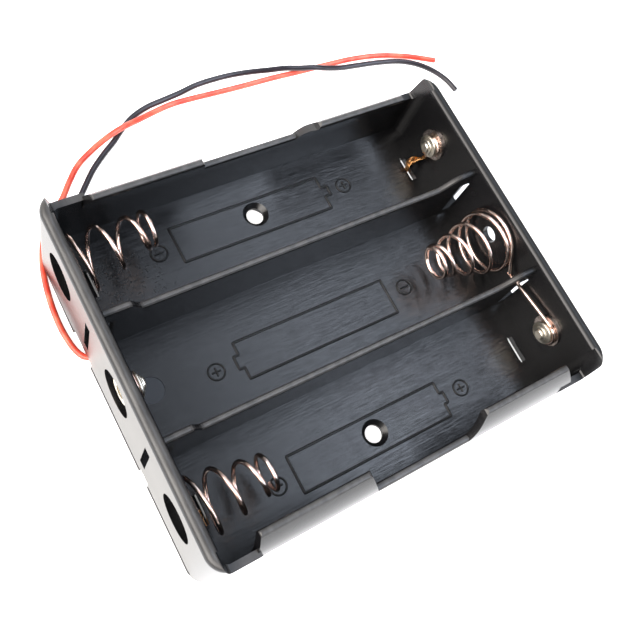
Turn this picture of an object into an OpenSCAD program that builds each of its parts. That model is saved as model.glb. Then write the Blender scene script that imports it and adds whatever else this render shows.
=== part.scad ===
// Open tray that holds three cylindrical cells side by side and wires them in series.
// +X runs along the cells, +Y across them, +Z up. The origin is at the bottom centre of the tray.
// Bay 1 is at +Y, bay 2 in the middle and bay 3 at -Y. The leads leave near the -X, +Y corner.

/* [Tray] */
// Outside length of the tray along the cells
tray_l = 77; // [76:0.5:84]
// Outside width of the tray across the cells
tray_w = 63; // [62:0.5:68]
// Height of the two end walls
end_h = 19.6; // [19.2:0.1:22]
// Thickness of the end walls
end_t = 2.2; // [2:0.1:2.6]
// Thickness of the curled side walls
side_t = 1.3; // [1.1:0.1:1.6]
// Outside radius of the four upright corners
corner_r = 3.6; // [3:0.1:5]
// Thickness of the floor
floor_t = 1.3; // [1:0.1:1.6]
// Height of the wiring space under the floor
recess_h = 3.1; // [2.9:0.1:3.6]

/* [Side walls] */
// Height of the four tabs that curl over the outer cells
tab_h = 19; // [17.4:0.1:20.4]
// Height of the side walls in the finger gaps between the tabs
gap_h = 13.5; // [12.8:0.1:15]
// Half the length of a finger gap
gap_half = 10.6; // [8.6:0.5:13.6]
// Distance from the middle to the outer end of each tab
tab_reach = 30.2; // [29:0.1:31]
// Height of the side walls at the corners of the lead end
lead_corner_h = 15.6; // [13.4:0.1:17]
// Height of the side walls at the corners of the far end
far_corner_h = 14.4; // [13.4:0.1:17]
// Extra length of each far tab at its foot, where its outer end slopes down to the corner
tab_slope = 2.8; // [1.5:0.1:3.6]
// Height at which the side walls start to curl inwards
curl_z = 11.6; // [10.4:0.1:12]
// Radius of the curl
curl_r = 12; // [11:0.5:18]

/* [Dividers] */
// Distance between the middles of the two dividers
divider_gap = 21.2; // [21:0.1:22]
// Thickness of a divider at the floor
divider_t = 1.7; // [1.5:0.1:2]
// Thickness of a divider at its ridge
ridge_t = 1.2; // [1:0.1:1.4]
// Height of the ridge along the middle of the tray
ridge_h = 15.2; // [13:0.1:16.4]
// Height of the ridge where it meets the end walls
ridge_end_h = 17.8; // [17:0.1:19]

/* [Openings] */
// Width of the upright slots through the end walls at the dividers
slot_w = 1.6; // [1.2:0.1:1.8]
// Height of those slots
slot_h = 9; // [6:0.5:10.5]
// Gap above the floor to the foot of those slots
slot_rise = 1.1; // [0.8:0.1:1.6]
// Length along X of the wire passage that a slot opens in the end of a divider
passage_l = 1.9; // [1.6:0.1:3]
// Width of the lead slots in the floor of the outer bays
lead_slot_w = 1.1; // [1:0.1:1.6]
// Length of the lead slots
lead_slot_l = 5.2; // [4:0.1:7]
// Gap from an end wall to the middle of a lead slot
lead_slot_in = 2.9; // [2.6:0.1:4]
// Distance of the two screw holes from the middle line
screw_y = 22.6; // [21:0.1:23.4]
// Offset of the screw holes along the cells
screw_x = -0.6; // [-5:0.1:5]
// Clearance diameter of the screw holes
screw_d = 3.2; // [2.6:0.1:3.6]
// Diameter of their countersinks at the floor
screw_head_d = 4.9; // [4.2:0.1:5.6]
// Outside diameter of the collars that carry the floor round the screw holes
boss_d = 8.4; // [8:0.1:9.2]
// Bore of those collars
boss_bore_d = 6.6; // [6:0.1:7]
// Diameter of the round pockets outside each contact
pocket_d = 8.1; // [5:0.1:9]
// Depth of those pockets
pocket_depth = 1.1; // [0.8:0.1:1.3]
// Width of the notch under the end wall where the red lead comes out
lead_notch_w = 7; // [6:0.1:8]
// Width of the spare notch in the same wall
spare_notch_w = 3; // [2.4:0.1:4]
// Width of the notch under the side wall where the black lead comes out
side_notch_w = 3.8; // [3.2:0.1:5]
// Height of those notches
notch_h = 2.2; // [1.8:0.1:2.8]
// Length of the shallow relief under the lead end wall, up to the side wall's face
relief_l = 15.5; // [14:0.5:17]
// Height of that relief at the side wall's face
relief_h = 1.55; // [1.5:0.05:2]
// Diameter of the ejector pin marks in the floor
pin_mark_d = 4.6; // [3:0.1:6]
// Depth of the ejector pin marks
pin_mark_depth = 0.12; // [0.05:0.01:0.2]

/* [Contacts] */
// Height of the contacts above the floor
contact_rise = 7.3; // [6.8:0.1:8]
// Diameter of the spring wire
wire_d = 0.75; // [0.6:0.05:0.9]
// Diameter of the middle bay's spring at the wall, to the middle of its wire
base_d = 11.8; // [10.6:0.1:12.4]
// Diameter of the outer bays' springs at the wall, to the middle of their wire
outer_base_d = 10.4; // [9.8:0.1:11]
// Diameter of a spring at its free end, to the middle of its wire
tip_d = 6; // [4:0.1:7]
// Length of a spring
spring_l = 14.2; // [10:0.1:16]
// Open turns in the middle bay's spring
open_turns = 3.3; // [2.3:0.5:4.3]
// Open turns in the outer bays' springs
outer_open_turns = 2.4; // [1.9:0.5:3.9]
// Distance that bay 1's spring leans towards the side wall at its free end
spring_lean = 2.2; // [0:0.2:3]
// Gap between a spring and the wall behind it
seat_gap = 0.1; // [0.05:0.05:0.2]
// Diameter of the rivet holes in the end walls
rivet_hole_d = 3.2; // [2.6:0.1:3.4]
// Running gap round a rivet shank in its hole
rivet_gap = 0.1; // [0.05:0.05:0.2]
// Diameter of the washer under each button
washer_d = 6; // [5:0.1:7]
// Thickness of that washer
washer_t = 0.4; // [0.3:0.05:0.6]
// Radius of the wire loop round a button's shank
loop_r = 2.3; // [2:0.1:2.6]
// Diameter of the nub that the cell touches
nub_d = 2.1; // [1.6:0.1:2.6]

/* [Leads] */
// Outside diameter of the leads
lead_d = 1.1; // [1:0.05:1.3]
// Diameter of a lead's bare twisted strands
strand_d = 0.7; // [0.6:0.05:0.9]

/* [Hidden] */
$fn = 64;
eps = 0.01;
small = 0.02;

// Levels and faces that several pieces share
floor_z = recess_h + floor_t;
contact_z = floor_z + contact_rise;
end_x = tray_l / 2 - end_t;
side_y = tray_w / 2 - side_t;
divider_y = divider_gap / 2;
bay_1_y = (divider_y + divider_t / 2 + side_y) / 2;
bay_y = [bay_1_y, 0, -bay_1_y];
web_t = end_t - pocket_depth;
slot_z = floor_z + slot_rise;
corner_x = tray_l / 2 - corner_r;
corner_y = tray_w / 2 - corner_r;
LEAD_END = -1;
FAR_END = 1;

// Notch middles: along Y in the lead end wall, and along X in the side wall at +Y
notch_1_y = divider_y + 1.3;
notch_2_y = -divider_y - 1.3;
notch_side_x = -end_x + 2.8;
red_exit_y = notch_1_y - 1.9;

// Shapes of the ridge: where it starts to rise towards each end, and where it is fully up
ridge_lead_rise = [-29.4, -32];
ridge_far_rise = [28.5, 34];

// --- Shared functions ---

function smooth(t) = t <= 0 ? 0 : t >= 1 ? 1 : t * t * (3 - 2 * t);
function unit(v) = v / norm(v);
function ramp(x, from, to) = smooth((x - from) / (to - from));
function arc(c, r, a0, a1, n) =
    [for (i = [0:n]) let (a = a0 + (a1 - a0) * i / n) c + r * [cos(a), sin(a)]];

// Directions along a path, and sideways directions that turn as little as they can
function path_dirs(p) = [for (i = [0:len(p) - 1])
    unit(p[min(i + 1, len(p) - 1)] - p[max(i - 1, 0)])];
function path_sides(d, i = 0, last = [0, 0, 1], found = []) =
    i == len(d) ? found :
    let (flat = last - (last * d[i]) * d[i],
         side = unit(norm(flat) > 0.01 ? flat : cross(d[i], [1, 0.3, 0.1])))
    path_sides(d, i + 1, side, concat(found, [side]));

// A round bar of diameter d along the points p
module bar(p, d, sides = 8) {
    dirs = path_dirs(p);
    ups = path_sides(dirs);
    n = len(p);
    points = [for (i = [0:n - 1], k = [0:sides - 1])
        let (a = 360 * k / sides)
        p[i] + d / 2 * (cos(a) * ups[i] + sin(a) * cross(dirs[i], ups[i]))];
    walls = [for (i = [0:n - 2], k = [0:sides - 1])
        let (a = i * sides + k, b = i * sides + (k + 1) % sides)
        each [[a, a + sides, b], [b, a + sides, b + sides]]];
    polyhedron(points, concat(
        [[for (k = [0:sides - 1]) k]], walls,
        [[for (k = [sides - 1:-1:0]) (n - 1) * sides + k]]));
}

// --- Tray ---

// Outline of an upright wall of thickness t with a rounded top, from x = 0 inwards
module wall_section(t, h) {
    square([t, h - t / 2]);
    translate([t / 2, h - t / 2]) circle(d = t);
}

// Outline of a side wall at its distance from the middle: straight, then curled inwards
module side_section(h) {
    mid_r = curl_r - side_t / 2;
    top_a = asin((h - side_t / 2 - curl_z) / mid_r);
    translate([side_y, 0]) square([side_t, curl_z + eps]);
    translate([tray_w / 2 - curl_r, curl_z]) {
        intersection() {
            difference() {
                circle(r = curl_r, $fn = 180);
                circle(r = curl_r - side_t, $fn = 180);
            }
            polygon([[0, 0], [2 * curl_r, 0], 2 * curl_r * [cos(top_a), sin(top_a)]]);
        }
        rotate(top_a) translate([mid_r, 0]) circle(d = side_t);
    }
}

module along_x(x0, x1) {
    translate([x0, 0, 0]) rotate([90, 0, 90]) linear_extrude(x1 - x0) children();
}

// Heights of the side walls along the tray. The lead tab has a rounded corner and slopes down
// to the finger gap, and the far tab starts in a ramp and slopes down to the far corner.
module tab_profile() {
    ramp_l = 3.6;
    low = gap_h - side_t;
    lead_slope = 2.2;
    lead_end = 0.7;
    far_tab = [for (i = [0:8]) let (t = i / 8)
        [gap_half - ramp_l / 2 + ramp_l * t, low + (tab_h - low) * smooth(t)]];
    polygon(concat(
        [[-tab_reach - lead_end, 0], [-tab_reach - lead_end, lead_corner_h - side_t]],
        arc([-tab_reach + 0.5, tab_h - 0.5], 0.5, 170, 90, 4),
        arc([-gap_half - 0.8, tab_h - 0.8], 0.8, 90, 20, 5),
        [[-gap_half + lead_slope, low], [gap_half - ramp_l / 2, low]], far_tab,
        [[tab_reach, tab_h], [tab_reach + tab_slope, far_corner_h - side_t], [tab_reach + tab_slope, 0]]));
}

module side_wall() {
    along_x(-tab_reach, tab_reach) side_section(gap_h);
    intersection() {
        along_x(-tab_reach - 1, tab_reach + tab_slope) side_section(tab_h);
        rotate([90, 0, 0]) translate([0, 0, -tray_w])
            linear_extrude(tray_w) tab_profile();
    }
}

// One rounded corner, which drops from the end wall's height to the side wall's, and thins
// from the end wall's thickness to the side wall's
module corner(h) {
    high_x = tray_l / 2 - 1.4;
    low_x = tray_l / 2 - 3.1;
    inner_x = corner_r - end_t - small;
    inner_y = corner_r - side_t;
    drop = [for (i = [0:8]) let (t = i / 8)
        [low_x + (high_x - low_x) * t, h + (end_h - h) * smooth(t)]];
    difference() {
        intersection() {
            translate([corner_x, corner_y, 0]) rotate_extrude(angle = 90)
                translate([corner_r, 0]) mirror([1, 0]) wall_section(end_t, end_h);
            rotate([90, 0, 0]) translate([0, 0, -tray_w]) linear_extrude(tray_w)
                polygon(concat([[0, 0], [0, h]], drop,
                    [[high_x, end_h + 1], [tray_l, end_h + 1], [tray_l, 0]]));
        }
        translate([corner_x, corner_y, -1]) scale([inner_x / inner_y, 1, 1])
            cylinder(r = inner_y, h = end_h + 2);
    }
    translate([tab_reach - eps, side_y, 0]) cube([corner_x - tab_reach + eps, side_t, h]);
}

module end_wall() {
    translate([tray_l / 2, corner_y, 0]) rotate([90, 0, 0]) mirror([1, 0, 0])
        linear_extrude(2 * corner_y) wall_section(end_t, end_h);
}

// Height of a divider's ridge at x
function ridge_at(x) = ridge_h + (ridge_end_h - ridge_h) *
    (ramp(x, ridge_lead_rise[0], ridge_lead_rise[1]) + ramp(x, ridge_far_rise[0], ridge_far_rise[1]));
function ridge_section(x) = let (h = ridge_at(x), r = ridge_t / 2) concat(
    [[-divider_t / 2, recess_h + floor_t / 2]],
    arc([0, h - r], r, 180, 0, 6),
    [[divider_t / 2, recess_h + floor_t / 2]]);

// A divider: a drafted blade with a round ridge that rises towards both end walls
module divider() {
    last = end_x + end_t / 2;
    xs = concat(
        [-last, -34],
        [for (i = [0:6]) ridge_lead_rise[1] + (ridge_lead_rise[0] - ridge_lead_rise[1]) * i / 6],
        [0],
        [for (i = [0:8]) ridge_far_rise[0] + (ridge_far_rise[1] - ridge_far_rise[0]) * i / 8],
        [last]);
    n = len(xs);
    m = len(ridge_section(0));
    points = [for (x = xs) each [for (q = ridge_section(x)) [x, q[0], q[1]]]];
    walls = [for (i = [0:n - 2], k = [0:m - 1])
        let (a = i * m + k, b = i * m + (k + 1) % m)
        each [[a, b, a + m], [b, b + m, a + m]]];
    polyhedron(points, concat(
        [[for (k = [m - 1:-1:0]) k]], walls, [[for (k = [0:m - 1]) (n - 1) * m + k]]));
}

module screw_hole() {
    sink_depth = 0.8;
    translate([0, 0, -1]) cylinder(d = boss_bore_d, h = recess_h + 1);
    cylinder(d = screw_d, h = floor_z + 1);
    translate([0, 0, floor_z - sink_depth])
        cylinder(d1 = screw_d, d2 = screw_head_d, h = sink_depth + small);
}

// What is cut at one end of the tray. end is LEAD_END or FAR_END
module end_cuts(end) {
    for (y = bay_y) translate([end * tray_l / 2, y, contact_z]) rotate([0, -90 * end, 0]) {
        translate([0, 0, -1]) cylinder(d = rivet_hole_d, h = end_t + 2);
        translate([0, 0, -1]) cylinder(d = pocket_d, h = pocket_depth + 1);
    }
    for (y = [-divider_y, divider_y]) {
        translate([end * (end_x + end_t / 2), y, slot_z + slot_h / 2])
            cube([end_t + 2 * small, slot_w, slot_h], center = true);
        translate([end * (end_x - passage_l / 2), y, slot_z + slot_h / 2])
            cube([passage_l + small, divider_t + 1, slot_h], center = true);
    }
    for (y = [bay_y[0], bay_y[2]])
        translate([end * (end_x - lead_slot_in), y, floor_z - floor_t / 2])
            cube([lead_slot_w, lead_slot_l, floor_t + 1], center = true);
}

module notches() {
    for (n = [[notch_1_y, lead_notch_w], [notch_2_y, spare_notch_w]])
        translate([-tray_l / 2 + end_t / 2, n[0], 0]) cube([end_t + 1, n[1], 2 * notch_h], center = true);
    translate([notch_side_x, tray_w / 2 - end_t / 2, 0])
        cube([side_notch_w, end_t + 1, 2 * notch_h], center = true);
}

// The relief under the walls at the lead corner, where the red lead passes below them
module corner_relief() {
    from_y = tray_w / 2 - relief_l;
    beyond = 1;
    along_x(-tray_l / 2 - 1, notch_side_x)
        polygon([[from_y, -1], [from_y, 0],
            [tray_w / 2 + beyond, relief_h * (1 + beyond / relief_l)], [tray_w / 2 + beyond, -1]]);
}

module pin_marks() {
    for (x = [-32, 22], y = bay_y)
        translate([y == 0 ? x : -x, y, floor_z - pin_mark_depth]) cylinder(d = pin_mark_d, h = 1);
}

module tray() {
    color([0.07, 0.07, 0.08]) difference() {
        union() {
            for (s = [0, 1]) mirror([0, s, 0]) {
                side_wall();
                corner(far_corner_h);
                mirror([1, 0, 0]) corner(lead_corner_h);
            }
            for (s = [0, 1]) mirror([s, 0, 0]) end_wall();
            translate([-end_x - eps, -side_y - eps, recess_h])
                cube([2 * end_x + 2 * eps, 2 * side_y + 2 * eps, floor_t]);
            for (y = [-divider_y, divider_y]) translate([0, y, 0]) divider();
            for (y = [-screw_y, screw_y])
                translate([screw_x, y, 0]) cylinder(d = boss_d, h = recess_h + floor_t / 2);
        }
        for (end = [LEAD_END, FAR_END]) end_cuts(end);
        for (y = [-screw_y, screw_y]) translate([screw_x, y, 0]) screw_hole();
        notches();
        corner_relief();
        pin_marks();
    }
}

// --- Contacts ---

// A point in the plane of an end wall: s is the distance into the bay from the wall's face
function at_wall(end, s, y, z) = [end * (end_x - s), y, z];
function around(end, s, y, r, a) = at_wall(end, s, y + r * cos(a), contact_z + r * sin(a));

wire_s = seat_gap + wire_d / 2;
grip_t = max(wire_d, strand_d);
loop_s = washer_t + small + grip_t / 2;
closed_pitch = wire_d + 0.15;
tail_a = 135;
tail_y = 8.6;
loop_a = [75, 330];
strand_loop_r = (rivet_hole_d + strand_d) / 2;

// A coil, from the wall to its free end: closed turns, open turns, one closed turn.
// spec gives its diameter at the wall, its closed turns there, its open turns and its lean.
middle_spec = [base_d, 1, open_turns, 0];
bay_1_spec = [outer_base_d, 1.27, outer_open_turns, spring_lean];
bay_3_spec = [outer_base_d, 1.27, outer_open_turns, 0];
function coil_s(t, spec) = let (closed = spec[1], open = spec[2])
    wire_s + closed_pitch * (min(t, closed) + max(0, t - closed - open))
    + (spring_l - wire_d - seat_gap - closed_pitch * (closed + 1)) / open * max(0, min(t - closed, open));
function coil_r(t, spec) =
    (spec[0] + (tip_d - spec[0]) * smooth((t - spec[1]) / spec[2] * 0.8 + 0.1)) / 2;
function coil(end, y, spec, steps = 18) = [for (i = [0:(1 + spec[1] + spec[2]) * steps])
    let (t = i / steps, s = coil_s(t, spec))
    around(end, s, y + spec[3] * pow(s / spring_l, 2), coil_r(t, spec), end * (tail_a - 360 * t))];

// The link wire: down from the coil, through the passage in the divider, then round a shank
function link(end, y, button_y) = let (a = [for (i = [0:14]) loop_a[1] + (loop_a[0] - loop_a[1]) * i / 14])
    concat(
        [for (b = a) around(end, loop_s, button_y, loop_r, end * b)],
        [at_wall(end, loop_s, y - tail_y - 0.7, contact_z + end * 0.36),
         at_wall(end, loop_s, y - tail_y, contact_z + end * 0.3),
         at_wall(end, loop_s, y - tail_y + 0.5, contact_z + end * 0.72)]);

// A spring whose wire runs on to the button of the next bay
module linked_spring(end, bay, spec) {
    wire = concat(link(end, bay_y[bay], bay_y[bay + 1]), coil(end, bay_y[bay], spec));
    color("silver") bar(wire, wire_d);
}

// The last spring in the chain ends at the wall, where the black lead is soldered to it
module end_spring(end, bay, spec) {
    color("silver") bar(coil(end, bay_y[bay], spec), wire_d);
}

// Outline of a button as a hollow rivet, from its clinched end to its nub
module button_outline() {
    shank_r = rivet_hole_d / 2 - rivet_gap;
    bore_r = shank_r - 0.35;
    back = loop_s + grip_t / 2 + small;
    flange_r = loop_r - 0.1;
    polygon(concat(
        [[bore_r, -web_t - 0.5], [shank_r + 0.7, -web_t - 0.5], [shank_r + 0.7, -web_t - small]],
        [[shank_r, -web_t - small], [shank_r, back]],
        arc([flange_r - 0.15, back + 0.15], 0.15, -90, 0, 3),
        arc([flange_r - 0.2, back + 0.25], 0.2, 0, 90, 4),
        arc([nub_d / 2 + 0.25, back + 0.65], 0.2, 0, 90, 4),
        arc([nub_d / 2 - 0.35, back + 0.95], 0.35, 0, 90, 5),
        [[0, back + 1.3], [0, back + 0.4], [bore_r, back + 0.4]]));
}

module on_wall(end, bay) {
    translate(at_wall(end, 0, bay_y[bay], contact_z)) rotate([0, -90 * end, 0]) children();
}

module button(end, bay) {
    color("gainsboro") on_wall(end, bay) rotate_extrude() button_outline();
}

module washer(end, bay) {
    color("gray") on_wall(end, bay) translate([0, 0, small]) difference() {
        cylinder(d = washer_d, h = washer_t - small);
        translate([0, 0, -1]) cylinder(d = rivet_hole_d, h = washer_t + 2);
    }
}

// --- Leads ---

// Free lengths, from the notch in the tray's wall to the cut end
red_route = [
    [-37.8, 10, 0.9], [-38.8, 10.7, 0.75], [-39.5, 12.2, 0.6], [-39.9, 14.3, 0.55],
    [-40.1, 16.6, 0.55], [-40.05, 19.2, 0.55], [-39.8, 22, 0.55], [-39.35, 24.8, 0.55],
    [-38.75, 27.4, 0.55], [-37.9, 29.9, 0.55], [-36.8, 32.3, 0.55], [-35.2, 34.8, 0.55],
    [-33, 37.1, 0.55], [-30.4, 39.3, 0.55], [-28, 42, 0.55], [-25.2, 44.7, 0.55],
    [-21.8, 46.6, 0.8], [-18.9, 47.6, 1.5], [-16.5, 48.3, 1.85], [-14.2, 48.9, 1.85],
    [-11.2, 49.7, 1.3], [-7.6, 50.7, 0.7], [-3.4, 51.4, 0.55], [1.1, 51.4, 0.55], [6, 51.2, 0.55],
    [12, 51, 0.55], [18.5, 50.9, 0.55], [25.5, 50.6, 0.55], [32, 50.4, 0.55], [38, 50.1, 0.55],
    [44.5, 49.1, 0.55], [51, 47, 0.55], [57, 44.1, 0.55]
];
black_route = [
    [-34.2, 29.9, 0.72], [-33.2, 31.7, 0.68], [-31.8, 33.7, 0.6], [-30, 35.8, 0.55],
    [-28, 37.9, 0.55], [-25.9, 40.1, 0.55], [-23.1, 42.9, 0.55], [-20, 45.3, 0.55],
    [-17.2, 47.2, 0.55], [-14.4, 49.4, 0.55], [-11.4, 51.2, 0.55], [-8, 52.3, 0.55],
    [-4.5, 52.8, 0.55], [-0.8, 53.3, 0.55], [3, 54, 0.55], [7, 54.2, 0.55], [11, 54.1, 0.55],
    [15.2, 53.5, 0.7], [18.9, 52.4, 1.3], [21.9, 51.5, 1.85], [25, 50.6, 1.85], [28.2, 49.8, 1.85],
    [31, 49.2, 1.3], [34.5, 48.7, 0.7], [38, 48.3, 0.55], [43, 47.6, 0.55], [48.4, 46.4, 0.55],
    [52.2, 44.5, 0.55], [55, 41.9, 0.55], [56.8, 38.9, 0.55], [57.6, 35.7, 0.55]
];

// Lengths held in the wiring space, from the notch to where the insulation is stripped.
// They lie a little under the floor, and the black lead passes over the red one.
lie_z = lead_d / 2 + 0.4;
over_z = lie_z + lead_d + 0.05;
exit_z = 0.9;
wall_middle = end_x + 1.5;
red_start = [-wall_middle, red_exit_y, exit_z];
black_start = [notch_side_x - 0.7, side_y - 0.3, exit_z - 0.18];
strip_in = 2.8;
slot_x = end_x - lead_slot_in;
red_strip = [slot_x - strip_in, bay_y[0] - 0.4, lie_z];
black_strip = [-slot_x + strip_in, bay_y[2] + 0.5, lie_z];
red_under_route = [
    red_start,
    [-end_x - 0.2, red_exit_y - 0.9, exit_z],
    [-end_x + 1.1, red_exit_y - 1.8, lie_z],
    [-end_x + 3.3, red_exit_y - 2.6, lie_z],
    [-end_x + 7.3, red_exit_y - 2.8, lie_z],
    [-20, 8.6, lie_z], [-8, 11.2, lie_z], [6, 14, lie_z],
    [slot_x - 13, bay_y[0] - 3.8, lie_z],
    [slot_x - 6.5, bay_y[0] - 1.8, lie_z],
    red_strip
];
black_under_route = [
    black_start,
    [-end_x + 0.9, side_y - 2.6, 1.2],
    [-end_x + 0.9, side_y - 6.2, 1.6],
    [-end_x + 2.1, red_exit_y + 6, over_z - 0.2],
    [-end_x + 3.3, red_exit_y - 2, over_z],
    [-end_x + 4.8, red_exit_y - 8, over_z],
    [-end_x + 6.8, -6, over_z - 0.4],
    [-end_x + 8.3, -13, over_z - 0.9],
    [-slot_x + 4.9, bay_y[2] + 2.6, lie_z],
    black_strip
];

module red_lead() {
    color([0.85, 0.12, 0.1]) bar(red_route, lead_d);
}

module black_lead() {
    color([0.1, 0.09, 0.1]) bar(black_route, lead_d);
}

module red_lead_under_tray() {
    color([0.85, 0.12, 0.1]) bar(red_under_route, lead_d);
}

module black_lead_under_tray() {
    color([0.1, 0.09, 0.1]) bar(black_under_route, lead_d);
}

// Bare strands: out of the red lead, up through the floor slot and round bay 1's shank
red_strand_path = concat(
    [red_strip, [slot_x - strip_in / 2, bay_y[0] - 0.2, lie_z + 0.1],
     [slot_x - 0.3, bay_y[0], recess_h - 0.9],
     [slot_x, bay_y[0], recess_h + 0.7],
     [slot_x + 0.1, bay_y[0] + 0.3, floor_z + 0.6],
     [end_x - 1.8, bay_y[0] + 0.5, floor_z + 2],
     [end_x - 1, bay_y[0] - 0.4, contact_z - loop_r - 1.4]],
    [for (i = [0:12]) around(FAR_END, loop_s, bay_y[0], strand_loop_r, 250 - 290 * i / 12)]);
// Bare strands: out of the black lead, up through the floor slot to bay 3's spring
black_strand_path = [
    black_strip, [-slot_x + strip_in / 2, bay_y[2] + 0.3, lie_z + 0.2],
    [-slot_x + 0.3, bay_y[2], recess_h - 0.8],
    [-slot_x, bay_y[2], recess_h + 0.7],
    [-slot_x - 0.2, bay_y[2], floor_z + 0.3],
    [-slot_x - 0.7, bay_y[2], floor_z + 0.45],
    [-end_x + 0.8, bay_y[2], floor_z + 0.45]
];

module red_strands() {
    color([0.72, 0.4, 0.2]) bar(red_strand_path, strand_d);
}

module black_strands() {
    color([0.72, 0.4, 0.2]) bar(black_strand_path, strand_d);
}

// The blob of solder between the black lead's strands and the foot of bay 3's spring
module spring_solder_joint() {
    room = contact_rise - (outer_base_d + wire_d) / 2;
    blob_d = room - seat_gap;
    foot = -end_x + seat_gap + blob_d / 2;
    color("silver") translate([foot, bay_y[2], floor_z + room / 2]) sphere(d = blob_d, $fn = 24);
}

tray();
linked_spring(LEAD_END, 0, bay_1_spec);  // spring_bay_1
linked_spring(FAR_END, 1, middle_spec);  // spring_bay_2
end_spring(LEAD_END, 2, bay_3_spec);  // spring_bay_3
button(FAR_END, 0);  // button_bay_1
button(LEAD_END, 1);  // button_bay_2
button(FAR_END, 2);  // button_bay_3
washer(FAR_END, 0);  // washer_bay_1
washer(LEAD_END, 1);  // washer_bay_2
washer(FAR_END, 2);  // washer_bay_3
red_lead();
black_lead();
red_lead_under_tray();
black_lead_under_tray();
red_strands();
black_strands();
spring_solder_joint();
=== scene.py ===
# %% [markdown]
# # A tray for three cylindrical cells
# The tray is one black moulding with three bays. Cone springs and rivet buttons stand at the
# ends of the bays, link wires join one bay to the next, and two thin leads lie on the table.
# The frame gives the solids in metres, so every place below is read from the frame's boxes.

# %% Load the frame
import math
import bpy
from mathutils import Matrix, Vector


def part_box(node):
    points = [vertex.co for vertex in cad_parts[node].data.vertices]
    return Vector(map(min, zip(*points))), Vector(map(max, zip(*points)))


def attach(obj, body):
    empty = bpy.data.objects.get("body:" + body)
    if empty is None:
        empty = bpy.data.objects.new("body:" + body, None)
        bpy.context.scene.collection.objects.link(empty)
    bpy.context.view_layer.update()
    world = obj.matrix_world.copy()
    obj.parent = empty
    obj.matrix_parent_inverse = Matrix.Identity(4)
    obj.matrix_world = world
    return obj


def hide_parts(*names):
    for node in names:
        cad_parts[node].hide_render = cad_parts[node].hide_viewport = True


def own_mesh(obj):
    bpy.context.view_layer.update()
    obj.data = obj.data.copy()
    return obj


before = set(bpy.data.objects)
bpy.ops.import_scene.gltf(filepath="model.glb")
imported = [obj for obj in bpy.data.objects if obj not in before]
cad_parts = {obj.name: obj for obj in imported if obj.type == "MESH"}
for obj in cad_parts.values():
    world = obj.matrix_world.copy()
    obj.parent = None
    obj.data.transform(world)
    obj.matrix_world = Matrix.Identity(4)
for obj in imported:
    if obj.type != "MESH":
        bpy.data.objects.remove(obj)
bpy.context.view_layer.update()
MM = 0.001
print("solids:", len(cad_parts))

# %% [markdown]
# ## Camera
# A small object seen from close by shows strong perspective, so the camera's place matters as
# much as its direction. The three directions below are the camera's right, down and forward.

# %% Camera
RIGHT = Vector((0.84014, -0.46970, 0.27120))
DOWN = Vector((-0.36188, -0.85790, -0.36477))
FORWARD = Vector((0.40399, 0.20832, -0.89073))
CAMERA_PLACE = Vector((-59.0, -30.0, 135.3)) * MM
SENSOR_MM = 36
LENS_MM = 46.83

camera_data = bpy.data.cameras.new("camera")
camera_data.sensor_width = SENSOR_MM
camera_data.lens = LENS_MM
camera_data.clip_start = 5 * MM
camera = bpy.data.objects.new("camera", camera_data)
bpy.context.scene.collection.objects.link(camera)
turn = Matrix((RIGHT, -DOWN, -FORWARD)).transposed()
camera.matrix_world = Matrix.Translation(CAMERA_PLACE) @ turn.to_4x4()
bpy.context.scene.camera = camera
print("camera looks down at", round(math.degrees(math.asin(-FORWARD.z)), 1), "degrees")

# %% [markdown]
# ## Shader maths
# A material's pattern is arithmetic on where a point lies. Written as nodes, one line of maths
# becomes a page of links. A small class that wraps a socket lets Python's own operators add
# the nodes, so the maths stays readable.

# %% A number on a surface, and a finish
class Field:
    """An output socket, which + - * / and the methods below turn into Math nodes."""

    def __init__(self, nodes, socket):
        self.nodes = nodes
        self.socket = socket

    def maths(self, operation, *others):
        return self.nodes.node("ShaderNodeMath", {"operation": operation}, [self, *others])

    def __add__(self, other):
        return self.maths("ADD", other)

    def __sub__(self, other):
        return self.maths("SUBTRACT", other)

    def __mul__(self, other):
        return self.maths("MULTIPLY", other)

    def __truediv__(self, other):
        return self.maths("DIVIDE", other)

    def __rsub__(self, other):
        return self.nodes.node("ShaderNodeMath", {"operation": "SUBTRACT"}, [other, self])

    __radd__ = __add__

    def above(self, level):
        return self.maths("GREATER_THAN", level)

    def below(self, level):
        return self.maths("LESS_THAN", level)

    def size(self):
        return self.maths("ABSOLUTE")

    def ramp(self, low, high, to_low=0.0, to_high=1.0):
        """Goes smoothly from to_low at low to to_high at high, and stays there."""
        settings = {"interpolation_type": "SMOOTHSTEP"}
        return self.nodes.node("ShaderNodeMapRange", settings, [self, low, high, to_low, to_high])

    def cosine(self):
        return self.maths("COSINE")

    def sine(self):
        return self.maths("SINE")

    def at_most(self, limit):
        return self.maths("MINIMUM", limit)

    def at_least(self, limit):
        return self.maths("MAXIMUM", limit)


class Nodes:
    """A node tree, the method that adds a node to it, and one that takes a vector apart."""

    tree = None

    def node(self, kind, settings=None, values=(), out=0):
        made = self.tree.nodes.new(kind)
        for key, value in (settings or {}).items():
            setattr(made, key, value)
        pairs = values.items() if isinstance(values, dict) else enumerate(values)
        for key, value in pairs:
            if isinstance(value, Field):
                self.tree.links.new(value.socket, made.inputs[key])
            else:
                made.inputs[key].default_value = value
        return Field(self, made.outputs[out])

    def axes(self, vector):
        """The vector's x, y and z, each as a Field."""
        split = self.node("ShaderNodeSeparateXYZ", values=[vector])
        return [Field(self, split.socket.node.outputs[i]) for i in range(3)]


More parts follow.
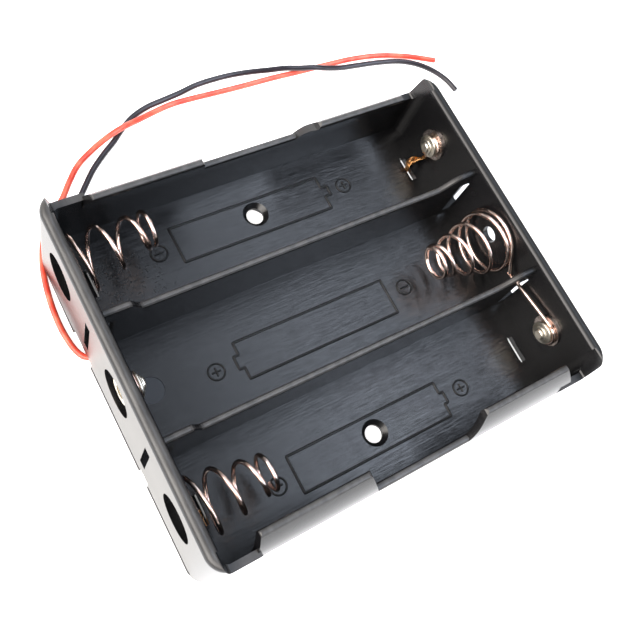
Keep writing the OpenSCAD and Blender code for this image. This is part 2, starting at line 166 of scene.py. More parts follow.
class Finish(Nodes):
    """A material with one Principled shader."""

    def __init__(self, name, colour, **constants):
        self.material = bpy.data.materials.new(name)
        self.material.use_nodes = True
        self.tree = self.material.node_tree
        self.shader = self.tree.nodes["Principled BSDF"]
        self.shader.inputs["Base Color"].default_value = (*colour, 1)
        for key, value in constants.items():
            socket = key.replace("_", " ").title().replace("Ior", "IOR")
            self.shader.inputs[socket].default_value = value

    def place(self):
        """Where a point is on the object, as x, y and z in millimetres, and as a vector."""
        spot = self.node("ShaderNodeTexCoord", out="Object")
        spot = self.node("ShaderNodeVectorMath", {"operation": "SCALE"}, {0: spot, "Scale": 1 / MM})
        return (*self.axes(spot), spot)

    def stretched(self, spot, x, y, z):
        return self.node("ShaderNodeVectorMath", {"operation": "MULTIPLY"}, [spot, (x, y, z)])

    def noise(self, spot, scale, detail=2.0, rough=0.5):
        values = {"Vector": spot, "Scale": scale, "Detail": detail, "Roughness": rough}
        return self.node("ShaderNodeTexNoise", values=values)

    def blend(self, share, first, second):
        mix = {"data_type": "RGBA"}
        values = {0: share, 6: first, 7: second}
        return self.node("ShaderNodeMix", mix, values, out=2)

    def feed(self, name, field):
        self.tree.links.new(field.socket, self.shader.inputs[name])

    def bump(self, height, strength, distance):
        values = {"Strength": strength, "Distance": distance, "Height": height}
        self.feed("Normal", self.node("ShaderNodeBump", values=values))


def dress(piece, *finishes):
    piece.data.materials.clear()
    for finish in finishes:
        piece.data.materials.append(finish.material)


def shade_smooth(piece, angle=math.radians(40)):
    for face in piece.data.polygons:
        face.use_smooth = True
    piece.data.set_sharp_from_angle(angle=angle)

# %% [markdown]
# ## Leads
# Each lead is stranded wire in thin, soft insulation. It lies flat on the table, and where
# the two cross, the upper one lifts in a long low hump. A smooth line through a few chosen
# points gives the route, and a round section swept along it gives the insulation.

# %% The routes of the free leads, in metres
LEAD_D = 1.1 * MM
RED_ROUTE = [Vector(p) * MM for p in [
    (-37.8, 10, 0.9), (-38.8, 10.7, 0.75), (-39.5, 12.2, 0.6), (-39.9, 14.3, 0.55),
    (-40.1, 16.6, 0.55), (-40.05, 19.2, 0.55), (-39.8, 22, 0.55), (-39.35, 24.8, 0.55),
    (-38.75, 27.4, 0.55), (-37.9, 29.9, 0.55), (-36.8, 32.3, 0.55), (-35.2, 34.8, 0.55),
    (-33, 37.1, 0.55), (-30.4, 39.3, 0.55), (-28, 42, 0.55), (-25.2, 44.7, 0.55),
    (-21.8, 46.6, 0.8), (-18.9, 47.6, 1.5), (-16.5, 48.3, 1.85), (-14.2, 48.9, 1.85),
    (-11.2, 49.7, 1.3), (-7.6, 50.7, 0.7), (-3.4, 51.4, 0.55), (1.1, 51.4, 0.55), (6, 51.2, 0.55),
    (12, 51, 0.55), (18.5, 50.9, 0.55), (25.5, 50.6, 0.55), (32, 50.4, 0.55), (38, 50.1, 0.55),
    (44.5, 49.1, 0.55), (51, 47, 0.55), (57, 44.1, 0.55)]]
BLACK_ROUTE = [Vector(p) * MM for p in [
    (-34.2, 29.9, 0.72), (-33.2, 31.7, 0.68), (-31.8, 33.7, 0.6), (-30, 35.8, 0.55),
    (-28, 37.9, 0.55), (-25.9, 40.1, 0.55), (-23.1, 42.9, 0.55), (-20, 45.3, 0.55),
    (-17.2, 47.2, 0.55), (-14.4, 49.4, 0.55), (-11.4, 51.2, 0.55), (-8, 52.3, 0.55),
    (-4.5, 52.8, 0.55), (-0.8, 53.3, 0.55), (3, 54, 0.55), (7, 54.2, 0.55), (11, 54.1, 0.55),
    (15.2, 53.5, 0.7), (18.9, 52.4, 1.3), (21.9, 51.5, 1.85), (25, 50.6, 1.85), (28.2, 49.8, 1.85),
    (31, 49.2, 1.3), (34.5, 48.7, 0.7), (38, 48.3, 0.55), (43, 47.6, 0.55), (48.4, 46.4, 0.55),
    (52.2, 44.5, 0.55), (55, 41.9, 0.55), (56.8, 38.9, 0.55), (57.6, 35.7, 0.55)]]


def smooth_line(points, step):
    """Points a step apart on the smooth curve that goes through all the given points."""
    line = []
    padded = [2 * points[0] - points[1], *points, 2 * points[-1] - points[-2]]
    for a, b, c, d in zip(padded, padded[1:], padded[2:], padded[3:]):
        count = max(2, round((c - b).length / step))
        for i in range(count):
            t = i / count
            line.append(0.5 * (2 * b + (c - a) * t + (2 * a - 5 * b + 4 * c - d) * t * t
                               + (3 * b - a - 3 * c + d) * t * t * t))
    return [*line, points[-1]]


def length_of(line):
    return sum((b - a).length for a, b in zip(line, line[1:]))

# %% A round bar along a line
def directions(line):
    ends = [line[0], *line, line[-1]]
    return [(c - a).normalized() for a, c in zip(ends, ends[2:])]


def sweep(name, line, rings, sides=16):
    """A round bar along the line. Its rings are (radius, shift back along the line, slot):
    the first is the bar's own, and the others close each end."""
    verts, faces, slots = [], [], []
    steps = directions(line)
    side = steps[0].cross(Vector((0.1, 0.2, 1))).normalized()
    radius = rings[0][0]
    for spot, step in zip(line, steps):
        side = (side - side.dot(step) * step).normalized()
        up = step.cross(side)
        for k in range(sides):
            turn = math.tau * k / sides
            verts.append(spot + radius * (math.cos(turn) * side + math.sin(turn) * up))
    for i in range(len(line) - 1):
        for k in range(sides):
            a, b = i * sides + k, i * sides + (k + 1) % sides
            faces.append((a, b, b + sides, a + sides))
            slots.append(0)
    for last, ring_from in ((False, 0), (True, (len(line) - 1) * sides)):
        spot, step = (line[-1], steps[-1]) if last else (line[0], -steps[0])
        previous = list(range(ring_from, ring_from + sides))
        outer = [verts[i] - spot for i in previous]
        for ring_radius, back, slot in rings[1:]:
            start = len(verts)
            verts += [spot + v * (ring_radius / radius) - step * back for v in outer]
            current = list(range(start, start + sides))
            for k in range(sides):
                after = (k + 1) % sides
                quad = (previous[k], previous[after], current[after], current[k])
                faces.append(quad if last else quad[::-1])
                slots.append(slot)
            previous = current
        faces.append(tuple(previous) if last else tuple(previous[::-1]))
        slots.append(rings[-1][2])
    mesh = bpy.data.meshes.new(name)
    mesh.from_pydata(verts, [], faces)
    mesh.polygons.foreach_set("material_index", slots)
    piece = bpy.data.objects.new(name, mesh)
    bpy.context.scene.collection.objects.link(piece)
    shade_smooth(piece)
    return piece

# %% [markdown]
# ### Finish of the insulation
# Soft PVC is glossy and almost evenly coloured, with a faint waviness from the machine that
# coats the wire. The bare strands are copper, and tinned where they reach the rivet.

# %% Insulation, copper and the leads themselves
def insulation(name, colour, pale, rough):
    finish = Finish(name, colour, roughness=rough, ior=1.5)
    x, y, z, spot = finish.place()
    cloud = finish.noise(spot, 0.35, 3.0)
    finish.feed("Base Color", finish.blend(cloud.ramp(0.3, 0.7), (*colour, 1), (*pale, 1)))
    finish.bump(finish.noise(spot, 0.9, 2.0), 0.25, 0.1 * MM)
    return finish


def copper_finish():
    finish = Finish("bare copper strands", (0.7, 0.38, 0.17), roughness=0.28, metallic=1.0)
    x, y, z, spot = finish.place()
    tarnish = finish.noise(spot, 1.6, 3.0).ramp(0.35, 0.7)
    copper = finish.blend(tarnish, (0.66, 0.36, 0.14, 1), (0.3, 0.14, 0.06, 1))
    tinned = z.ramp(8.5, 9.5)
    finish.feed("Base Color", finish.blend(tinned, copper, (0.9, 0.76, 0.68, 1)))
    finish.feed("Roughness", tarnish * 0.2 + 0.22)
    return finish


RED_PVC = insulation("red insulation", (0.82, 0.06, 0.035), (0.9, 0.17, 0.1), 0.3)
BLACK_PVC = insulation("black insulation", (0.012, 0.01, 0.014), (0.024, 0.019, 0.026), 0.3)
COPPER = copper_finish()
LEAD_R = LEAD_D / 2
CUT_END = [(LEAD_R, 0, 0), (LEAD_R * 0.96, -0.02 * MM, 0), (LEAD_R * 0.6, -0.02 * MM, 0),
           (LEAD_R * 0.58, 0.1 * MM, 1), (LEAD_R * 0.3, 0.04 * MM, 1)]


def free_lead(name, route, finish, node):
    line = smooth_line(route, 0.7 * MM)
    piece = sweep(name, line, CUT_END)
    dress(piece, finish, COPPER)
    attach(piece, "tray")
    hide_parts(node)
    length_of(line)
    print(name, "is", round(length_of(line) / MM, 1), "mm long")


free_lead("red_free_lead", RED_ROUTE, RED_PVC, "red_lead")
free_lead("black_free_lead", BLACK_ROUTE, BLACK_PVC, "black_lead")

# %% [markdown]
# ## Places that the frame gives
# The washers lie on the end walls, so their boxes give the walls' inner faces, the height of
# the contacts and the middle of each bay.

# %% Walls, bays and contacts
def middle_of(node):
    low, high = (Vector(corner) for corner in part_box(node))
    return (low + high) / 2


SKIN = 0.02 * MM
CONTACT_RISE = 7.3 * MM
WALL_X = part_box("washer_bay_1")[1][0] + SKIN
CONTACT_Z = middle_of("washer_bay_1").z
FLOOR_Z = CONTACT_Z - CONTACT_RISE
BAY_Y = [middle_of(f"washer_bay_{bay}").y for bay in (1, 2, 3)]
LEAD_END, FAR_END = -1, 1
print("bays in mm:", [round(y / MM, 2) for y in BAY_Y], "floor", round(FLOOR_Z / MM, 2))


def at_wall(end, into, y, z):
    """A point given by its distance into the bay from an end wall, and by y and height."""
    return Vector((end * (WALL_X - into), y, z))


def around(end, into, bay, radius, degrees):
    angle = math.radians(degrees)
    return at_wall(end, into, BAY_Y[bay] + radius * math.cos(angle),
                   CONTACT_Z + radius * math.sin(angle))

# %% [markdown]
# ## Trees that make the wire parts
# A coil, a link and a twisted bundle all follow a rule, so Geometry Nodes make them. A recipe
# below is such a tree. Its inputs have names, it ends in Realize Instances and Set Material,
# and its result is kept as a plain mesh.

# %% A recipe: a Geometry Nodes tree with named inputs
class Recipe(Nodes):
    """A tree that turns paths and a few numbers into a mesh."""

    def __init__(self, name, **inputs):
        self.tree = bpy.data.node_groups.new(name, "GeometryNodeTree")
        face = self.tree.interface
        face.new_socket("Path", in_out="INPUT", socket_type="NodeSocketGeometry")
        self.names = {}
        for key, value in inputs.items():
            kind = "NodeSocketInt" if isinstance(value, int) else "NodeSocketFloat"
            made = face.new_socket(key, in_out="INPUT", socket_type=kind)
            made.default_value = value
            self.names[key] = made.identifier
        face.new_socket("Mesh", in_out="OUTPUT", socket_type="NodeSocketGeometry")
        self.start = self.tree.nodes.new("NodeGroupInput")

    def given(self, name):
        return Field(self, self.start.outputs[name])

    def swept(self, curve, radius, sides):
        values = {"Resolution": sides, "Radius": radius}
        ring = self.node("GeometryNodeCurvePrimitiveCircle", values=values)
        values = {"Curve": curve, "Profile Curve": ring, "Fill Caps": True}
        return self.node("GeometryNodeCurveToMesh", values=values)

    def finish_with(self, mesh, finish):
        mesh = self.node("GeometryNodeRealizeInstances", values=[mesh])
        mesh = self.node("GeometryNodeSetShadeSmooth", values=[mesh])
        values = {"Geometry": mesh, "Material": finish.material}
        mesh = self.node("GeometryNodeSetMaterial", values=values)
        end = self.tree.nodes.new("NodeGroupOutput")
        self.tree.links.new(mesh.socket, end.inputs[0])

    def make(self, name, paths=(), **values):
        """Runs the tree on the paths with these inputs, and keeps the result as a plain mesh."""
        curve = bpy.data.curves.new(name + "_path", "CURVE")
        curve.dimensions = "3D"
        for points, closed in paths:
            spline = curve.splines.new("POLY")
            spline.points.add(len(points) - 1)
            spline.points.foreach_set("co", [c for p in points for c in (*p, 1)])
            spline.use_cyclic_u = closed
        source = bpy.data.objects.new(name + "_path", curve)
        bpy.context.scene.collection.objects.link(source)
        modifier = source.modifiers.new("recipe", "NODES")
        modifier.node_group = self.tree
        for key, value in values.items():
            modifier[self.names[key]] = value
        graph = bpy.context.evaluated_depsgraph_get()
        mesh = bpy.data.meshes.new_from_object(source.evaluated_get(graph), depsgraph=graph)
        mesh.name = name
        piece = bpy.data.objects.new(name, mesh)
        bpy.context.scene.collection.objects.link(piece)
        bpy.data.objects.remove(source)
        print(name, len(mesh.polygons), "faces")
        return piece

# %% [markdown]
# ### Finish of the wire
# Spring wire is nickel plated, smooth and slightly warm in tint. Almost all of its look is
# what it mirrors: the soft lights above and the black moulding below.

# %% Plated wire and plated buttons
def plating(name, bright, dull, rough):
    finish = Finish(name, bright, roughness=rough, metallic=1.0)
    x, y, z, spot = finish.place()
    cloud = finish.noise(spot, 0.8, 3.0).ramp(0.35, 0.7)
    finish.feed("Base Color", finish.blend(cloud, (*bright, 1), (*dull, 1)))
    finish.feed("Roughness", cloud * 0.1 + rough)
    finish.bump(finish.noise(spot, 3.0, 2.0), 0.1, 0.01 * MM)
    return finish


SPRING_WIRE = plating("plated spring wire", (0.97, 0.82, 0.76), (0.85, 0.6, 0.5), 0.16)
BUTTON_METAL = plating("plated rivet", (0.98, 0.93, 0.82), (0.9, 0.82, 0.68), 0.3)
WASHER_METAL = plating("plated washer", (0.8, 0.7, 0.66), (0.42, 0.36, 0.33), 0.22)
SOLDER = plating("solder", (0.7, 0.7, 0.72), (0.45, 0.45, 0.47), 0.3)

# %% [markdown]
# ## Cone springs
# A spring starts with a closed turn at the wall, opens into a cone and ends in a closed turn
# that the cell's flat end rests on. One line of numbers, from 0 to the count of turns, gives
# every point's place along the axis, its radius and its angle.

# %% The cone spring recipe
WIRE_D = 0.75 * MM
WIRE_SIDES = 14
SEAT_GAP = 0.1 * MM
CLOSED_PITCH = WIRE_D + 0.15 * MM
SPRING_START = SEAT_GAP + WIRE_D / 2
SPRING_L = 14.2 * MM
TOP_RADIUS = 3 * MM
TAIL_DEGREES = 135
FIRST = {"base_radius": 5.2 * MM, "closed_turns": 0.6, "open_turns": 2.33}
LAST = {"base_radius": 5.2 * MM, "closed_turns": 0.4, "open_turns": 2.65}
MIDDLE = {"base_radius": 5.9 * MM, "closed_turns": 1.0, "open_turns": 3.3}


def spring_recipe():
    tree = Recipe("cone spring", end=1.0, wall_x=0.0, bay_y=0.0, height=0.0, base_radius=5.0 * MM,
                  closed_turns=1.0, open_turns=3.0, lean=0.0, droop=0.0, points=400)
    line = tree.node("GeometryNodeCurvePrimitiveLine")
    values = {"Curve": line, "Count": tree.given("points")}
    line = tree.node("GeometryNodeResampleCurve", values=values)
    share = tree.node("GeometryNodeInputIndex") / (tree.given("points") - 1)
    at_base, open_turns = tree.given("closed_turns"), tree.given("open_turns")
    end = tree.given("end")
    turns = share * (at_base + open_turns + 1)
    opened = (turns - at_base).at_least(0).at_most(open_turns)
    closed_length = (at_base + 1) * CLOSED_PITCH
    open_pitch = (SPRING_L - WIRE_D - SEAT_GAP - closed_length) / open_turns
    into = (turns - opened) * CLOSED_PITCH + opened * open_pitch + SPRING_START
    narrowing = (turns - at_base) / open_turns * 0.8 + 0.1
    cone = narrowing.ramp(0, 1, tree.given("base_radius"), TOP_RADIUS)
    angle = (math.radians(TAIL_DEGREES) - turns * math.tau) * end
    x = (tree.given("wall_x") - into) * end
    bend = into / SPRING_L
    y = tree.given("bay_y") + cone * angle.cosine() + tree.given("lean") * bend
    z = tree.given("height") + cone * angle.sine() - tree.given("droop") * bend
    spot = tree.node("ShaderNodeCombineXYZ", values=[x, y, z])
    coil = tree.node("GeometryNodeSetPosition", values={"Geometry": line, "Position": spot})
    tree.finish_with(tree.swept(coil, WIRE_D / 2, WIRE_SIDES), SPRING_WIRE)
    return tree


SPRING = spring_recipe()


def cone_spring(bay, end, shape, lean=0.0, droop=0.0, aside=0.0):
    """A spring whose base sits aside of the bay's middle and whose free end leans or droops."""
    coil = SPRING.make(f"cone_spring_{bay + 1}", end=float(end), wall_x=WALL_X,
                       bay_y=BAY_Y[bay] + aside, height=CONTACT_Z, lean=lean, droop=droop, **shape)
    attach(coil, "tray")
    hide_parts(f"spring_bay_{bay + 1}")
    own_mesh(coil)


ASIDE = (0.7 * MM, -0.9 * MM)
cone_spring(0, LEAD_END, FIRST, lean=1.7 * MM, droop=-1.3 * MM, aside=ASIDE[0])
cone_spring(1, FAR_END, MIDDLE, aside=ASIDE[1])
cone_spring(2, LEAD_END, LAST, droop=0.5 * MM)

# %% [markdown]
# ## Link wires
# The first two springs are not cut off at the wall. Their wire runs on through the slot in the
# divider and closes in a loop round the next bay's rivet, which wires the cells in series.

# %% Link wires along their paths
WIRE_PATH = Recipe("round wire on a path", radius=WIRE_D / 2)
WIRE_PATH.finish_with(
    WIRE_PATH.swept(WIRE_PATH.given("Path"), WIRE_PATH.given("radius"), WIRE_SIDES), SPRING_WIRE)
LOOP_INTO = 0.795 * MM
LOOP_R = 2.3 * MM
# Where the wire passes the divider: millimetres from the bay's middle, and up or down.
THROUGH_DIVIDER = ((9.3, 0.36), (8.6, 0.3), (8.1, 0.72))


def link_wire(bay, end, base_radius, aside):
    """The wire from a spring's base, through the divider, to the loop at the next bay."""
    loop = [around(end, LOOP_INTO, bay + 1, LOOP_R, end * degrees)
            for degrees in range(330, 74, -15)]
    y = BAY_Y[bay]
    rise = [at_wall(end, LOOP_INTO, y - out * MM, CONTACT_Z + end * up * MM)
            for out, up in THROUGH_DIVIDER]
    join = [around(end, SPRING_START, bay, base_radius, end * degrees) + Vector((0, aside, 0))
            for degrees in (TAIL_DEGREES, TAIL_DEGREES - 10, TAIL_DEGREES - 20)]
    path = smooth_line([*loop, *rise, *join], 0.3 * MM)
    wire = WIRE_PATH.make(f"link_wire_{bay + 1}", [(path, False)])
    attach(wire, "tray")


link_wire(0, LEAD_END, FIRST["base_radius"], ASIDE[0])
link_wire(1, FAR_END, MIDDLE["base_radius"], ASIDE[1])

# %% [markdown]
# ## Bare strands
# Where the insulation ends, the lead is a handful of fine copper strands, twisted together.
# Each strand is a copy of the path, pushed sideways by an amount that turns along it.

# %% The twisted bundle recipe
STRANDS = 7
STRAND_SIDES = 8


def bundle_recipe():
    tree = Recipe("twisted bundle", lay_radius=0.24 * MM, strand_radius=0.1 * MM, twist=1500.0)
    values = {"Curve": tree.given("Path"), "Length": 0.2 * MM}
    path = tree.node("GeometryNodeResampleCurve", {"mode": "LENGTH"}, values)
    copies = tree.node("GeometryNodeDuplicateElements", {"domain": "SPLINE"},
                       {"Geometry": path, "Amount": STRANDS})
    which = Field(tree, copies.socket.node.outputs["Duplicate Index"])
    length = tree.node("GeometryNodeSplineParameter", out="Length")
    angle = which * (math.tau / STRANDS) + length * tree.given("twist")
    side = tree.node("GeometryNodeInputNormal")
    along = tree.node("GeometryNodeInputTangent")
    up = tree.node("ShaderNodeVectorMath", {"operation": "CROSS_PRODUCT"}, [along, side])
    reach = tree.given("lay_radius")
    scale = {"operation": "SCALE"}
    push = [tree.node("ShaderNodeVectorMath", scale, {0: way, "Scale": part * reach})
            for way, part in ((side, angle.cosine()), (up, angle.sine()))]
    offset = tree.node("ShaderNodeVectorMath", {"operation": "ADD"}, push)
    strands = tree.node("GeometryNodeSetPosition", values={"Geometry": copies, "Offset": offset})
    tree.finish_with(tree.swept(strands, tree.given("strand_radius"), STRAND_SIDES), COPPER)
    return tree


BUNDLE = bundle_recipe()
SLOT_IN = 2.9 * MM
SLOT_X = WALL_X - SLOT_IN
LIE_Z = 0.95 * MM
RED_STRIP = Vector((SLOT_X - 2.8 * MM, BAY_Y[0] - 0.4 * MM, LIE_Z))
BLACK_STRIP = Vector((0.6 * MM - SLOT_X, BAY_Y[2] - 2.6 * MM, LIE_Z))


def spot(x, y, z):
    return Vector((x, y, z))


def red_strand_points():
    """From the red lead's end, up through the slot and round the rivet of bay 1."""
    y = BAY_Y[0]
    climb = [RED_STRIP, spot(SLOT_X - 1.4 * MM, y - 0.2 * MM, LIE_Z + 0.1 * MM),
             spot(SLOT_X - 0.3 * MM, y, 2.2 * MM), spot(SLOT_X, y, 3.8 * MM),
             spot(SLOT_X + 0.1 * MM, y + 0.3 * MM, FLOOR_Z + 0.6 * MM),
             spot(WALL_X - 1.8 * MM, y + 0.5 * MM, FLOOR_Z + 2 * MM),
             spot(WALL_X - 1 * MM, y - 0.4 * MM, CONTACT_Z - LOOP_R - 1.4 * MM)]
    return climb + [around(FAR_END, LOOP_INTO, 0, 1.95 * MM, 250 - 24 * i) for i in range(8)]


def red_curl_points():
    """A strand that came loose and curls by the slot, as a small ring."""
    x, y, z = SLOT_X + 0.9 * MM, BAY_Y[0] + 0.3 * MM, FLOOR_Z + 1.3 * MM
    ring = [spot(x + MM * math.cos(math.radians(a)), y + a * 0.001 * MM,
                 z + MM * math.sin(math.radians(a))) for a in range(200, 620, 30)]
    end = spot(WALL_X - 1.5 * MM, y - 0.2 * MM, FLOOR_Z + 2.6 * MM)
    return [spot(SLOT_X, y, 3.8 * MM), *ring, end]


def black_strand_points():
    """From the black lead's end, up through the slot to the joint at bay 3's spring."""
    y = BAY_Y[2]
    return [BLACK_STRIP, spot(0.2 * MM - SLOT_X, y - 2.5 * MM, LIE_Z + 0.9 * MM),
            spot(-SLOT_X, y - 1.5 * MM, 2.6 * MM), spot(-SLOT_X, y - 0.6 * MM, 3.8 * MM),
            spot(-SLOT_X - 0.2 * MM, y - 0.2 * MM, FLOOR_Z + 0.3 * MM),
            spot(-SLOT_X - 0.7 * MM, y, FLOOR_Z + 0.45 * MM),
            spot(0.8 * MM - WALL_X, y, FLOOR_Z + 0.45 * MM)]


for colour, ways in (("red", (red_strand_points(), red_curl_points())),
                     ("black", (black_strand_points(),))):
    paths = [(smooth_line(way, 0.2 * MM), False) for way in ways]
    strands = BUNDLE.make(f"{colour}_lead_strands", paths)
    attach(strands, "tray")
    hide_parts(f"{colour}_strands")

# %% [markdown]
# ## Leads under the tray
# Both leads run through the space under the raised floor. They are swept like the free
# lengths, and meet them in the notches under the walls. The black one passes below the slots
# in the floor, which then look dark from above.

# %% The lengths held under the floor
END_X = WALL_X / MM
RED_UNDER = [RED_ROUTE[0], *[spot(*p) * MM for p in [
    (-END_X - 0.2, 9.1, 0.9), (-END_X + 1.1, 8.2, 0.95), (-END_X + 3.3, 7.4, 0.95),
    (-END_X + 7.3, 7.2, 0.95), (-20, 8.6, 0.95), (-8, 11.2, 0.95), (6, 14, 0.95),
    (20.4, 17, 0.95), (26.9, 19, 0.95)]], RED_STRIP]
BLACK_UNDER = [BLACK_ROUTE[0], *[spot(*p) * MM for p in [
    (-END_X + 2.5, 27.2, 1), (-END_X + 3.4, 24.6, 1.2), (-END_X + 3.5, 19, 1.4),
    (-END_X + 3.3, 8, 2.1), (-END_X + 4.2, 2, 2.1), (-END_X + 5.2, -6, 1.7),
    (-END_X + 4.6, -13, 1.2), (-END_X + 3.6, -18.4, 0.95)]], BLACK_STRIP]
BUTT_END = [(LEAD_R, 0, 0), (LEAD_R * 0.5, 0, 0)]

for name, points, finish, node in (
        ("red_lead_in_floor_space", RED_UNDER, RED_PVC, "red_lead_under_tray"),
        ("black_lead_in_floor_space", BLACK_UNDER, BLACK_PVC, "black_lead_under_tray")):
    held = sweep(name, smooth_line(points, 0.8 * MM), BUTT_END)
    dress(held, finish)
    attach(held, "tray")
    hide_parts(node)

# %% [markdown]
# ## Buttons, washers and solder
# The solids already have the rivets' true turned form, so they only need their plating.

# %% Dress the contacts
for bay in (1, 2, 3):
    dress(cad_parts[f"button_bay_{bay}"], BUTTON_METAL)
    dress(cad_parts[f"washer_bay_{bay}"], WASHER_METAL)
dress(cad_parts["spring_solder_joint"], SOLDER)

# %% [markdown]
# ## The moulding's finish
# Styrene is nearly black all through, so its look is all gloss. The mould's floor was ground
# along the cells, so the tray's floor blurs what it mirrors across Y and keeps it sharp along
# X, and it curves up a little towards the far side wall. The up-facing tops of the ridges and
# rims get a paler grey base colour in streaks, which is a painted highlight. One bay has small
# pits by its spring, the middle bay has a smooth round ejector mark, and the lead end's foot is
# rough. A little uneven bump keeps large faces from looking perfect.

# %% Black moulding, with places in millimetres
RIDGE_Z = 13.3
OUTSIDE_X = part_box("tray")[1][0] / MM
PITTED_Y = 19.5
DISC_X = -32
FLOOR_ROUGH = 0.04
WALL_ROUGH = 0.2


def moulding_finish():
    finish = Finish("black moulding", (0.005, 0.005, 0.0055), roughness=0.3, ior=1.5)
    x, y, z, where = finish.place()
    up = finish.axes(finish.node("ShaderNodeNewGeometry", out="Normal"))[2]
    floor = up.above(0.95) * z.below(FLOOR_Z / MM + 0.2)
    streaks = finish.noise(finish.stretched(where, 0.05, 3.0, 0.3), 1.0, 4.0, 0.6)
    brushed = finish.noise(finish.stretched(where, 0.1, 12.0, 1.0), 1.0, 2.0)
    clouds = finish.noise(where, 0.06, 3.0)
    fine = finish.noise(where, 4.0, 2.0)
    edge = up.ramp(0.5, 0.9) * z.ramp(RIDGE_Z - 0.6, RIDGE_Z - 0.2)
    patch = floor * x.ramp(-17, -22) * (y - PITTED_Y).size().ramp(6, 3)
    pits = finish.noise(where, 2.6, 1.0).ramp(0.62, 0.68) * patch
    # Streaks that vary the strength of the painted highlight on the rims and ridges.
    rim_highlight_streaks = finish.noise(finish.stretched(where, 1.0, 0.3, 1.0), 0.8, 3.0).ramp(0.35, 0.65)
    from_disc = x - DISC_X
    disc = (from_disc * from_disc + y * y).ramp(5.8, 4.9) * floor
    rough_floor = FLOOR_ROUGH + streaks * 0.05 + clouds * 0.03 + disc * 0.2
    rough_wall = WALL_ROUGH + clouds * 0.1
    foot = z.ramp(1.5, 1.2) * x.below(-OUTSIDE_X + 0.1)
    rough = rough_wall + floor * (rough_floor - rough_wall) + edge * 0.15
    finish.feed("Roughness", rough + foot * 0.7 + pits * 0.35)
    cloudy = clouds.ramp(0.35, 0.7)
    black = finish.blend(cloudy, (0.004, 0.004, 0.0045, 1), (0.007, 0.007, 0.008, 1))
    black = finish.blend(disc * 0.8, black, (0.022, 0.025, 0.032, 1))
    # Painted highlight: the up-facing tops of the rims and ridges, and the outer rim edge of the
    # far end wall, blend to a paler grey, in streaks.
    painted_rim_highlight = edge * (rim_highlight_streaks * 0.4 + 0.6) * (x.ramp(35, 31) + x.above(OUTSIDE_X - 0.35))
    finish.feed("Base Color", finish.blend(painted_rim_highlight, black, (0.07, 0.067, 0.065, 1)))
    dish = (y - 21).at_least(0)
    height = (streaks * 0.5 + brushed * 2.4 + dish * dish * 0.8) * floor
    height = height + fine * 0.15 + clouds * 0.5 - pits * 1.5
    finish.bump(height, 0.25, 0.05 * MM)
    return finish


MOULDING = moulding_finish()
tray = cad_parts["tray"]
dress(tray, MOULDING)

# %% [markdown]
# ## Marks on the floor
# Raised beads on each bay's floor draw a cell's outline and its two signs, which show how the
# cell goes in. An oval swept along each outline makes the bead, and its lower half is sunk in
# the floor.

# %% Bead recipe and the marks
BEAD_H = 0.24 * MM
OUTLINE_W = 0.52 * MM
SIGN_W = 0.36 * MM
SIGN_R = 1.45
SIGN_BAR = 0.8
BEAD_SIDES = 10
CORNER_R = 0.18 * MM


def bead_recipe():
    tree = Recipe("raised bead", width=OUTLINE_W, height=BEAD_H)
    corners = {"Curve": tree.given("Path"), "Radius": CORNER_R, "Limit Radius": True, "Count": 3}
    path = tree.node("GeometryNodeFilletCurve", {"mode": "POLY"}, corners)
    path = tree.node("GeometryNodeSetCurveNormal", {"mode": "Z_UP"}, {"Curve": path})
    values = {"Resolution": BEAD_SIDES, "Radius": 1.0}
    ring = tree.node("GeometryNodeCurvePrimitiveCircle", values=values)
    values = [tree.given("width") / 2, tree.given("height"), 1.0]
    size = tree.node("ShaderNodeCombineXYZ", values=values)
    ring = tree.node("GeometryNodeTransform", values={"Geometry": ring, "Scale": size})
    values = {"Curve": path, "Profile Curve": ring, "Fill Caps": True}
    tree.finish_with(tree.node("GeometryNodeCurveToMesh", values=values), MOULDING)
    return tree


BEAD = bead_recipe()


def mark_finish():
    """The same black, but dull, because the cutter in the mould was not polished."""
    finish = Finish("dull black marks", (0.003, 0.003, 0.0033), roughness=0.5, ior=1.5)
    x, y, z, where = finish.place()
    grain = finish.noise(where, 2.0, 2.0)
    finish.feed("Roughness", grain * 0.2 + 0.42)
    black = finish.blend(grain, (0.0025, 0.0025, 0.003, 1), (0.004, 0.004, 0.0045, 1))
    finish.feed("Base Color", black)
    return finish


MARK = mark_finish()


def circle(x, y, radius, count=36):
    turns = [math.tau * i / count for i in range(count)]
    return [(x + radius * math.cos(turn), y + radius * math.sin(turn)) for turn in turns]


def cell_outline(x0, x1, y0, y1, nub_x, nub_y0, nub_y1):
    """A cell seen from above: a long box with a nub at one end."""
    if nub_x > x1:
        return [(x0, y0), (x1, y0), (x1, nub_y0), (nub_x, nub_y0), (nub_x, nub_y1), (x1, nub_y1),
                (x1, y1), (x0, y1)]
    return [(x0, y0), (x1, y0), (x1, y1), (x0, y1), (x0, nub_y1), (nub_x, nub_y1), (nub_x, nub_y0),
            (x0, nub_y0)]


def beads(name, shapes, width):
    """Beads on the floor along shapes, each a list of (x, y) in millimetres and closed or not."""
    paths = [([Vector((x, y, 0)) * MM + Vector((0, 0, FLOOR_Z)) for x, y in points], closed)
             for points, closed in shapes]
    marks = BEAD.make(name, paths, width=width)
    dress(marks, MARK)
    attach(marks, "tray")


def floor_marks(bay, outline, plus, minus):
    """One bay's cell outline and its two ringed signs. The bars lie along Y and X."""
    signs = [(circle(*plus, SIGN_R), True), (circle(*minus, SIGN_R), True)]
    for (x, y), ways in ((plus, ((0, 1), (1, 0))), (minus, ((1, 0),))):
        for dx, dy in ways:
            dx, dy = SIGN_BAR * dx, SIGN_BAR * dy
            signs.append(([(x - dx, y - dy), (x + dx, y + dy)], False))
    beads(f"cell_outline_{bay}", [(cell_outline(*outline), True)], OUTLINE_W)
    beads(f"cell_signs_{bay}", signs, SIGN_W)


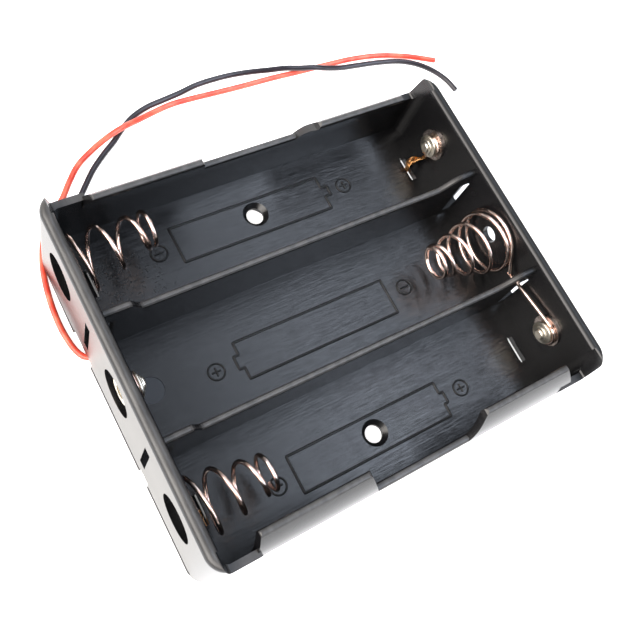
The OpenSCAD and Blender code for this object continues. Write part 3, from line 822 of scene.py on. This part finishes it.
floor_marks(1, (-16.8, 13.9, 18.6, 25.5, 15.2, 21.2, 23.2), (18.5, 22.1), (-20.3, 21.8))
floor_marks(2, (-16.0, 15.1, -5.0, 1.9, -17.0, -2.8, -0.4), (-20.8, -1.6), (18.9, -1.1))
floor_marks(3, (-16.8, 14.1, -26.1, -19.4, 14.9, -23.7, -21.6), (18.6, -22.5), (-20.3, -23.1))

# %% [markdown]
# ## Table and light
# The part lies on a white light table, so its outer walls mirror plain white. Above it the
# room is dim, except for one broad soft light over the far end and a soft light behind the
# camera. The tray's floor mirrors the first one, which makes the black plastic look glossy and
# leaves the floor dark where that light ends. The rivets, springs and rims catch the second.

# %% Light table
TABLE_GLOW = 1.0
TABLE_REACH = 3.0


def table():
    mesh = bpy.data.meshes.new("table")
    signs = ((-1, -1), (1, -1), (1, 1), (-1, 1))
    corners = [(x * TABLE_REACH, y * TABLE_REACH, 0) for x, y in signs]
    mesh.from_pydata(corners, [], [(0, 1, 2, 3)])
    piece = bpy.data.objects.new("table", mesh)
    bpy.context.scene.collection.objects.link(piece)
    finish = Finish("white table", (0.93, 0.93, 0.93), roughness=0.6, emission_strength=TABLE_GLOW)
    finish.shader.inputs["Emission Color"].default_value = (1, 0.99, 0.98, 1)
    dress(piece, finish)


table()

# %% A dim room with soft lights
FAR_LIGHT = 7.5
NEAR_LIGHT = 8
DIM = 0.18


class Room(Nodes):
    """The world around the part. Its brightness depends on the direction only."""

    def __init__(self, name):
        self.world = bpy.data.worlds.new(name)
        self.world.use_nodes = True
        self.tree = self.world.node_tree

    def shine(self, colour, strength):
        """A soft light of this colour, as bright in each direction as strength says."""
        return self.node("ShaderNodeBackground", values=[(*colour, 1), strength])

    def add(self, first, second):
        return self.node("ShaderNodeAddShader", values={0: first, 1: second})

    def hang(self, light):
        self.tree.links.new(light.socket, self.tree.nodes["World Output"].inputs["Surface"])


def dim_room():
    """x, y and z are the direction's own, so the far light grows towards +X and ends at 0.525."""
    room = Room("dim room")
    x, y, z = room.axes(room.node("ShaderNodeTexCoord", out="Generated"))
    rise = (x - 0.06).at_least(0) * FAR_LIGHT
    strip = rise + x.ramp(0.25, 0.5) * (y * -12 + 4.5).at_least(0.6)
    far_light = strip * x.ramp(0.525, 0.5) * z.ramp(0.3, 0.6)
    near_light = x.ramp(-0.35, -0.6) * y.size().ramp(0.75, 0.4) * z.ramp(0.2, 0.45) * NEAR_LIGHT
    horizon = z.ramp(0.3, 0.05) * 0.5 + DIM
    cool = room.shine((0.76, 0.85, 1.0), far_light)
    warm = room.shine((1.0, 0.95, 0.9), near_light + horizon)
    room.hang(room.add(cool, warm))
    return room.world


scene = bpy.context.scene
scene.view_settings.view_transform = "Standard"
scene.world = dim_room()
